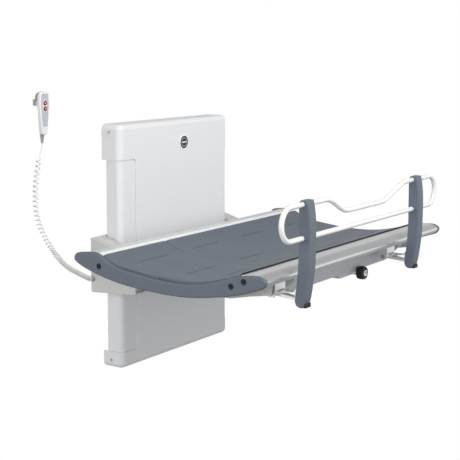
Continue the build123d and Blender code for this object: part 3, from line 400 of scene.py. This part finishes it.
@dataclass
class MatPanel:
    """One moulded foam panel of the lying surface, with rounded rims and drain slots.

    Attributes:
        node: The CAD node that the panel stands for.
        slot_xs: Middles of the drain slots that this panel has, along X.
        finger_slot: True if the panel has a finger slot in its outer edge.
    """

    palette: Palette
    node: str
    slot_xs: tuple[float, ...]
    finger_slot: bool = False
    slot_shares: tuple[float, ...] = (0.137, 0.494, 0.748)
    slot_length: float = 160 * MM
    slot_width: float = 6.0 * MM
    finger_width: float = 95 * MM
    finger_reach: float = 9.7 * MM
    finger_y: float = -0.5305
    rim: float = 5.0 * MM
    slot_rim: float = 1.0 * MM
    step: float = 14 * MM
    shade_drop: float = 6.0 * MM
    shade_gap: float = 0.2 * MM

    def shades(self, places: list[Vector]) -> None:
        """Lays dark strips deep in the drain slots, where no light reaches.

        Args:
            places: Middle of the first slot of each row, on the panel's top.
        """
        x, y = self.slot_length / 2 - self.shade_gap, self.slot_width / 2 - self.shade_gap
        pitch = self.slot_xs[1] - self.slot_xs[0] if len(self.slot_xs) > 1 else 0.0
        for k, place in enumerate(places):
            strip = plate_solid("shade", [(-x, -y), (x, -y), (x, y), (-x, y)], 1.0 * MM, 0.0)
            strip.transform(Matrix.Rotation(math.radians(90), 4, "X"))
            # painted shade: each strip takes the black rubber finish only to darken the slot's depth; the
            # slots hold no rubber
            Row(self.palette, f"{self.node}_shade_{k}", strip, len(self.slot_xs),
                place - Vector((0, 0, self.shade_drop)), Vector((pitch, 0, 0))).build("table", "black_rubber")

    def lines(self, low: float, high: float, cuts: list[float]) -> list[float]:
        """Spreads grid lines between two ends, with a line at each cut."""
        marks = sorted({low, high, *cuts})
        found = [marks[0]]
        for a, b in zip(marks, marks[1:]):
            parts = max(1, round((b - a) / self.step))
            found += [a + (b - a) * k / parts for k in range(1, parts + 1)]
        return found

    def build(self) -> None:
        """Makes the panel from a grid whose slot cells are left open."""
        low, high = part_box(self.node)
        depth = high.y - low.y
        slots = [(x - self.slot_length / 2, x + self.slot_length / 2,
                  high.y - share * depth - self.slot_width / 2, high.y - share * depth + self.slot_width / 2)
                 for x in self.slot_xs for share in self.slot_shares]
        if self.finger_slot:
            slots.append((low.x, low.x + self.finger_reach, self.finger_y - self.finger_width / 2,
                          self.finger_y + self.finger_width / 2))
        xs = self.lines(low.x, high.x, [x for slot in slots for x in slot[:2]])
        ys = self.lines(low.y, high.y, [y for slot in slots for y in slot[2:]])
        probe_x = self.slot_xs[0] + self.slot_length / 2 + 25 * MM
        inset = 0.4 * MM
        tops = [surface_height(self.node, probe_x, min(max(y, low.y + inset), high.y - inset)) for y in ys]
        # the underside is read beside the feet: a straight line bridges each foot
        bottoms = [top - 19.6 * MM for top in tops]
        rows = [high.y - share * depth for share in self.slot_shares]
        middles = [Vector((self.slot_xs[0], y, surface_height(self.node, probe_x, y))) for y in rows]
        made = bmesh.new()
        upper = [[made.verts.new((x, y, z)) for y, z in zip(ys, tops)] for x in xs]
        lower = [[made.verts.new((x, y, z)) for y, z in zip(ys, bottoms)] for x in xs]

        def solid(i: int, j: int) -> bool:
            """True if the cell right of line i and in front of line j is filled."""
            if not (0 <= i < len(xs) - 1 and 0 <= j < len(ys) - 1):
                return False
            x, y = (xs[i] + xs[i + 1]) / 2, (ys[j] + ys[j + 1]) / 2
            return not any(a < x < b and c < y < d for a, b, c, d in slots)

        def outside(i: int, j: int) -> bool:
            """True if the cell lies beyond the panel's outline."""
            return not (0 <= i < len(xs) - 1 and 0 <= j < len(ys) - 1)

        outer, inner = [], []
        for i in range(len(xs) - 1):
            for j in range(len(ys) - 1):
                if not solid(i, j):
                    continue
                ring = ((i, j), (i + 1, j), (i + 1, j + 1), (i, j + 1))
                made.faces.new([upper[a][b] for a, b in ring])
                made.faces.new([lower[a][b] for a, b in reversed(ring)])
                beside = ((i, j - 1), (i + 1, j), (i, j + 1), (i - 1, j))
                for (a, b), (c, d), near in zip(ring, ring[1:] + ring[:1], beside):
                    if not solid(*near):
                        made.faces.new((upper[c][d], upper[a][b], lower[a][b], lower[c][d]))
                        (outer if outside(*near) else inner).append((upper[a][b], upper[c][d]))
                        if outside(*near):
                            outer.append((lower[a][b], lower[c][d]))
        for verts in (upper, lower):
            for row in verts:
                for v in row:
                    if not v.link_faces:
                        made.verts.remove(v)
        for pairs, width, rounds in ((outer, self.rim, 4), (inner, self.slot_rim, 2)):
            edges = [made.edges.get(pair) for pair in pairs if pair[0].is_valid and pair[1].is_valid]
            bmesh.ops.bevel(made, geom=[e for e in edges if e], offset=width, segments=rounds, profile=0.5,
                            affect="EDGES", clamp_overlap=True)
        mesh = bpy.data.meshes.new(self.node)
        made.to_mesh(mesh)
        made.free()
        smooth(mesh, 50)
        panel = mesh_piece(self.node.replace("mat", "mat_panel"), mesh, self.palette.of("mat_plastic"))
        settle(panel, "table", "mat_plastic", self.node)
        self.shades(middles)


# ---------------------------------------------------------------- repeated pieces
@dataclass
class Row:
    """One small solid repeated by a node group, in a row or round a circle.

    Attributes:
        name: The finished piece's name.
        seed: The solid that repeats, round its own origin.
        count: How many there are.
        place: Where the row's first solid, or the circle's middle, sits.
        step: The way from one to the next; unused on a circle.
        radius: Radius of the circle, or 0 for a row.
        turn: Euler angles that lay the row or the circle.
        shrink: Size of the last solid of a row against the first.
    """

    palette: Palette
    name: str
    seed: bpy.types.Mesh
    count: int
    place: Vector
    step: Vector
    radius: float = 0.0
    turn: Triple = (0.0, 0.0, 0.0)
    shrink: float = 1.0

    def group(self) -> tuple[bpy.types.NodeTree, dict[str, str]]:
        """Builds the node group and returns it with its inputs' identifiers by name."""
        tree = bpy.data.node_groups.new(self.name, "GeometryNodeTree")
        found = {}
        for label, kind in (("Count", "NodeSocketInt"), ("Step", "NodeSocketVector"),
                            ("Radius", "NodeSocketFloat"), ("Shrink", "NodeSocketFloat"),
                            ("Solid", "NodeSocketObject"), ("Finish", "NodeSocketMaterial")):
            found[label] = tree.interface.new_socket(label, in_out="INPUT", socket_type=kind).identifier
        tree.interface.new_socket("Geometry", in_out="OUTPUT", socket_type="NodeSocketGeometry")
        given = add_node(tree, "NodeGroupInput").outputs
        if self.radius:
            spots = add_node(tree, "GeometryNodeMeshCircle",
                             {"Vertices": given["Count"], "Radius": given["Radius"]})
            index = add_node(tree, "GeometryNodeInputIndex").outputs[0]
            share = add_node(tree, "ShaderNodeMath", {0: index, 1: 2 * math.pi / self.count},
                             operation="MULTIPLY")
            turn = add_node(tree, "ShaderNodeCombineXYZ", {"Z": share.outputs[0]}).outputs[0]
            size = (1.0, 1.0, 1.0)
        else:
            spots = add_node(tree, "GeometryNodeMeshLine", {"Count": given["Count"], "Offset": given["Step"]})
            index = add_node(tree, "GeometryNodeInputIndex").outputs[0]
            last = float(max(1, self.count - 1))
            share = add_node(tree, "ShaderNodeMapRange", {"Value": index, "From Max": last,
                                                          "To Min": 1.0, "To Max": given["Shrink"]})
            turn = (0.0, 0.0, 0.0)
            size = share.outputs[0]
        solid = add_node(tree, "GeometryNodeObjectInfo", {"Object": given["Solid"]}).outputs["Geometry"]
        spread = add_node(tree, "GeometryNodeInstanceOnPoints",
                          {"Points": spots.outputs[0], "Instance": solid, "Rotation": turn, "Scale": size})
        real = add_node(tree, "GeometryNodeRealizeInstances", {0: spread.outputs[0]})
        dressed = add_node(tree, "GeometryNodeSetMaterial", {0: real.outputs[0], "Material": given["Finish"]})
        add_node(tree, "NodeGroupOutput", {0: dressed.outputs[0]})
        return tree, found

    def build(self, body: str, slot: str) -> bpy.types.Object:
        """Runs the node group, keeps its mesh and fixes the piece to its body."""
        tree, found = self.group()
        solid = bpy.data.objects.new(f"{self.name}_one", self.seed)
        host = bpy.data.objects.new(self.name, bpy.data.meshes.new(f"{self.name}_host"))
        for item in (solid, host):
            bpy.context.scene.collection.objects.link(item)
        rows = host.modifiers.new("rows", "NODES")
        rows.node_group = tree
        values = {"Count": self.count, "Step": self.step, "Radius": self.radius, "Shrink": self.shrink,
                  "Solid": solid, "Finish": self.palette.of(slot)}
        for label, value in values.items():
            rows[found[label]] = value
        bpy.context.view_layer.update()
        mesh = bpy.data.meshes.new_from_object(host.evaluated_get(bpy.context.evaluated_depsgraph_get()))
        bpy.data.objects.remove(host)
        bpy.data.objects.remove(solid)
        mesh.transform(Matrix.Translation(self.place) @ Euler(self.turn).to_matrix().to_4x4())
        smooth(mesh, 35)
        piece = mesh_piece(self.name, mesh, self.palette.of(slot))
        settle(piece, body, slot)
        return piece


def ring_solid(name: str, outer: float, inner: float, height: float, chamfer: float,
               sides: int = 40) -> bpy.types.Mesh:
    """Makes a flat ring round Z with chamfered rims, from z = 0 up.

    Args:
        name: The mesh's name.
        outer: Outer radius.
        inner: Bore radius; 0 makes a disc.
        height: Thickness.
        chamfer: Width of the chamfer on the upper outer rim.
        sides: Corners of the circle.

    Returns:
        A closed mesh.
    """
    profile = [(outer, 0.0), (outer, height - chamfer), (outer - chamfer, height)]
    profile += [(inner, height), (inner, 0.0)] if inner else []
    made = bmesh.new()
    rings = [[made.verts.new((r * math.cos(t), r * math.sin(t), z))
              for t in (2 * math.pi * k / sides for k in range(sides))] for r, z in profile]
    pairs = list(zip(rings, rings[1:])) + ([(rings[-1], rings[0])] if inner else [])
    for one, two in pairs:
        for k in range(sides):
            made.faces.new((one[k], one[(k + 1) % sides], two[(k + 1) % sides], two[k]))
    if not inner:
        made.faces.new(rings[0])
        made.faces.new(rings[-1])
    bmesh.ops.recalc_face_normals(made, faces=made.faces)
    mesh = bpy.data.meshes.new(name)
    made.to_mesh(mesh)
    made.free()
    return mesh


def plate_solid(name: str, outline: list[tuple[float, float]], depth: float,
                rounding: float) -> bpy.types.Mesh:
    """Makes a plate from an outline in the XZ plane, from y = 0 towards the viewer, with a rounded front rim.

    Args:
        name: The mesh's name.
        outline: Corners as x and z, in metres.
        depth: Thickness.
        rounding: Radius of the front rim.

    Returns:
        A closed mesh.
    """
    made = bmesh.new()
    back = [made.verts.new((x, 0.0, z)) for x, z in outline]
    front = [made.verts.new((x, -depth, z)) for x, z in outline]
    made.faces.new(back)
    face = made.faces.new(front)
    for k in range(len(outline)):
        j = (k + 1) % len(outline)
        made.faces.new((back[k], back[j], front[j], front[k]))
    bmesh.ops.recalc_face_normals(made, faces=made.faces)
    if rounding:
        bmesh.ops.bevel(made, geom=list(face.edges), offset=rounding, segments=3, profile=0.5, affect="EDGES",
                        clamp_overlap=True)
    mesh = bpy.data.meshes.new(name)
    made.to_mesh(mesh)
    made.free()
    return mesh


# ---------------------------------------------------------------- details
@dataclass
class Details:
    """Small parts that the eye looks for: badge trim, keys, and ribs on sleeve and nut."""

    palette: Palette
    key_ways: tuple[tuple[str, int], ...] = (("button_up", 1), ("button_down", -1))
    cap_lift: float = 1.35 * MM
    mark_lift: float = 3.3 * MM
    halo_width: float = 3.6 * MM
    halo_depth: float = 0.1 * MM
    rib_length: float = 20 * MM
    rib_count: int = 18
    turning_radius: float = 0.1 * MM

    def flat(self, name: str, mesh: bpy.types.Mesh, place: Triple, body: str, slot: str) -> bpy.types.Object:
        """Puts a mesh at a place and fixes it to its body."""
        mesh.transform(Matrix.Translation(place))
        smooth(mesh, 35)
        piece = mesh_piece(name, mesh, self.palette.of(slot))
        settle(piece, body, slot)
        return piece

    def badge_trim(self) -> None:
        """Frames the black badge in white and adds its grey ring and one plain bar."""
        low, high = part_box("badge")
        x, y, z = (low.x + high.x) / 2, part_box("front_cover")[0].y, (low.z + high.z) / 2
        lay = Matrix.Rotation(math.radians(90), 4, "X")
        rings = (("badge_frame", 29.5, 25.2, 0.0, 2.0, "white_powder_coat"),
                 ("badge_ring", 18.5, 15.0, 1.5, 0.5, "relief_grey"))
        for name, outer, inner, out, thick, slot in rings:
            mesh = ring_solid(name, outer * MM, inner * MM, thick * MM, 0.3 * MM, 64)
            mesh.transform(lay)
            self.flat(name, mesh, (x, y - out * MM, z), "root", slot)
        bar = plate_solid("badge_bar", [(-13 * MM, -3 * MM), (13 * MM, -1.6 * MM), (13 * MM, 3.2 * MM),
                                        (-13 * MM, 1.8 * MM)], 0.6 * MM, 0.2 * MM)
        self.flat("badge_bar", bar, (x, y - 2.0 * MM, z), "root", "white_powder_coat")

    def key_outline(self, way: int, grow: float) -> list[tuple[float, float]]:
        """Teardrop with its tip up or down.

        Args:
            way: 1 for a tip that points up, -1 for down.
            grow: Width added all round.

        Returns:
            Corners as x and z round the middle of the key.
        """
        round_part = [(math.cos(math.radians(a)), math.sin(math.radians(a))) for a in range(-215, 36, 10)]
        radius, tip = 7.0 * MM + grow, 9.4 * MM + grow * 1.3
        return [(x * radius, z * radius * way) for x, z in round_part] + [(0.0, tip * way)]

    def handset_keys(self) -> None:
        """Gives each button a raised teardrop cap and the pair a pale painted halo: a light rim round the
        dark keys, not print.
        """
        low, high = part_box("handset_panel")
        x, front = (low.x + high.x) / 2, low.y
        upright = Matrix.Rotation(math.radians(90), 4, "X")
        heights = []
        for node, way in self.key_ways:
            low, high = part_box(node)
            z = (low.z + high.z) / 2
            heights.append(z)
            cap = plate_solid(f"{node}_cap", self.key_outline(way, 0.6 * MM), 2.0 * MM, 0.7 * MM)
            self.flat(f"{node}_cap", cap, (x, front - self.cap_lift, z), node, "button_red")
            dot = ring_solid(f"{node}_mark", 2.4 * MM, 0.0, 0.25 * MM, 0.1 * MM, 24)
            dot.transform(upright)
            self.flat(f"{node}_mark", dot, (x, front - self.mark_lift, z), node, "cord_white")
        middle = sum(heights) / 2
        halo = [(px, pz + z) for (_, way), z in zip(self.key_ways, heights)
                for px, pz in self.key_outline(way, self.halo_width)
                if (pz + z - middle) * way > self.halo_width]
        halo.sort(key=lambda p: math.atan2(p[1] - middle, p[0]))
        # painted highlight: a thin pale plate in the white powder coat finish stands in for a bright rim of
        # light round the dark keys
        lit_rim = plate_solid("key_halo", halo, self.halo_depth, 0.0)
        self.flat("key_halo", lit_rim, (x, front, 0.0), "root", "white_powder_coat")

    def sleeves(self) -> None:
        """Ribs on the handset's strain relief, finer towards the cord."""
        rib = ring_solid("relief_rib", 8.3 * MM, 5.2 * MM, 2.2 * MM, 0.5 * MM, 32)
        low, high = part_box("strain_relief")
        top = Vector(((low.x + high.x) / 2, (low.y + high.y) / 2, high.z - 3.5 * MM))
        Row(self.palette, "relief_ribs", rib, 6, top, Vector((0, 0, -4.6 * MM)),
            shrink=0.62).build("root", "relief_grey")

    def union_ribs(self) -> None:
        """Grip ribs round the drain's union nut."""
        low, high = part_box("drain_union_nut")
        foot, crest, half_foot, half_crest = (v * MM for v in (22.6, 24.6, 1.4, 0.7))
        outline = [(foot, -half_foot), (crest, -half_crest), (crest, half_crest), (foot, half_foot)]
        rib = plate_solid("union_rib", outline, self.rib_length, 0.5 * MM)
        rib.transform(Matrix.Rotation(math.radians(-90), 4, "X"))
        middle = (low + high) / 2
        # the outline already sits at the nut's skin, so the circle only turns each rib
        Row(self.palette, "union_ribs", rib, self.rib_count, Vector((middle.x, high.y - 3 * MM, middle.z)),
            Vector(), self.turning_radius, (math.radians(90), 0.0, 0.0)).build("table", "black_rubber")

    def build(self) -> None:
        """Makes every small part."""
        self.badge_trim()
        self.handset_keys()
        self.sleeves()
        self.union_ribs()


# ---------------------------------------------------------------- studio
@dataclass
class Studio:
    """White paper, a high lamp in front, a low one at the side and the camera."""

    eye: Triple = (-3.6656, -2.8640, 0.7823)
    heading: float = 55.495
    dip: float = 6.0
    lens: float = 91.18
    shift: float = -0.15
    floor_z: float = -0.95
    floor_half: float = 40.0
    zenith: float = 0.3
    nadir: float = 0.3

    def camera(self) -> None:
        """Places the camera at the chosen viewpoint."""
        data = bpy.data.cameras.new("camera")
        data.lens = self.lens
        data.shift_y = self.shift
        data.clip_end = 200.0
        eye = bpy.data.objects.new("camera", data)
        eye.location = self.eye
        eye.rotation_euler = (math.radians(90 - self.dip), 0.0, -math.radians(self.heading))
        bpy.context.scene.collection.objects.link(eye)
        bpy.context.scene.camera = eye

    def floor(self) -> None:
        """Lays wide white paper below the table; it throws no light back up."""
        made = bmesh.new()
        bmesh.ops.create_grid(made, x_segments=4, y_segments=4, size=self.floor_half)
        mesh = bpy.data.meshes.new("studio_floor")
        made.to_mesh(mesh)
        made.free()
        mesh.transform(Matrix.Translation((0.0, 0.0, self.floor_z)))
        material = bpy.data.materials.new("studio paper")
        material.use_nodes = True
        tree = material.node_tree
        tree.nodes.clear()
        glow = add_node(tree, "ShaderNodeEmission", {"Color": linear("#ffffff"), "Strength": 1.0})
        add_node(tree, "ShaderNodeOutputMaterial", {"Surface": glow.outputs[0]})
        floor = mesh_piece("studio_floor", mesh, material)
        floor.visible_diffuse = floor.visible_glossy = floor.visible_shadow = False

    def sky(self) -> None:
        """Surrounds the scene with light that is white at the horizon and dim above and below."""
        world = bpy.data.worlds.new("studio")
        bpy.context.scene.world = world
        world.use_nodes = True
        tree = world.node_tree
        tree.nodes.clear()
        way = add_node(tree, "ShaderNodeTexCoord").outputs["Generated"]
        height = add_node(tree, "ShaderNodeSeparateXYZ", {0: way}).outputs["Z"]
        up = add_node(tree, "ShaderNodeMapRange", {"Value": height, "From Min": 0.06, "From Max": 0.55,
                                                   "To Min": 1.0, "To Max": self.zenith})
        down = add_node(tree, "ShaderNodeMapRange", {"Value": height, "From Min": -0.5, "From Max": -0.06,
                                                     "To Min": self.nadir, "To Max": 1.0})
        dim = add_node(tree, "ShaderNodeMath", {0: up.outputs[0], 1: down.outputs[0]}, operation="MULTIPLY")
        back = add_node(tree, "ShaderNodeBackground",
                        {"Color": linear("#ffffff"), "Strength": dim.outputs[0]})
        add_node(tree, "ShaderNodeOutputWorld", {"Surface": back.outputs[0]})

    def lamp(self, name: str, place: Triple, aim: Triple, size: float, power: float) -> None:
        """Adds one soft square lamp that faces a point."""
        data = bpy.data.lights.new(name, "AREA")
        data.size = size
        data.energy = power
        lamp = bpy.data.objects.new(name, data)
        lamp.location = place
        lamp.rotation_euler = (Vector(aim) - Vector(place)).to_track_quat("-Z", "Y").to_euler()
        bpy.context.scene.collection.objects.link(lamp)

    def build(self) -> None:
        """Sets up the camera, floor, sky and lamps."""
        bpy.context.scene.view_settings.view_transform = "Standard"
        self.camera()
        self.floor()
        self.sky()
        self.lamp("key", (-0.8, -3.6, 3.4), (0.0, -0.3, 0.0), 1.6, 155.0)
        self.lamp("side", (-4.4, -0.4, 0.9), (0.0, -0.3, 0.0), 1.8, 52.0)


def main() -> None:
    """Builds the looks in order and reports each piece."""
    logging.basicConfig(level=logging.INFO, format="%(name)s: %(message)s")
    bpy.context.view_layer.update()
    Studio().build()
    palette = Palette()
    palette.dress_frame()
    CurlyCord(palette).build()
    MatPanel(palette, "mat_near", NEAR_SLOTS, finger_slot=True).build()
    MatPanel(palette, "mat_far", FAR_SLOTS).build()
    Details(palette).build()


if __name__ == "__main__":
    main()
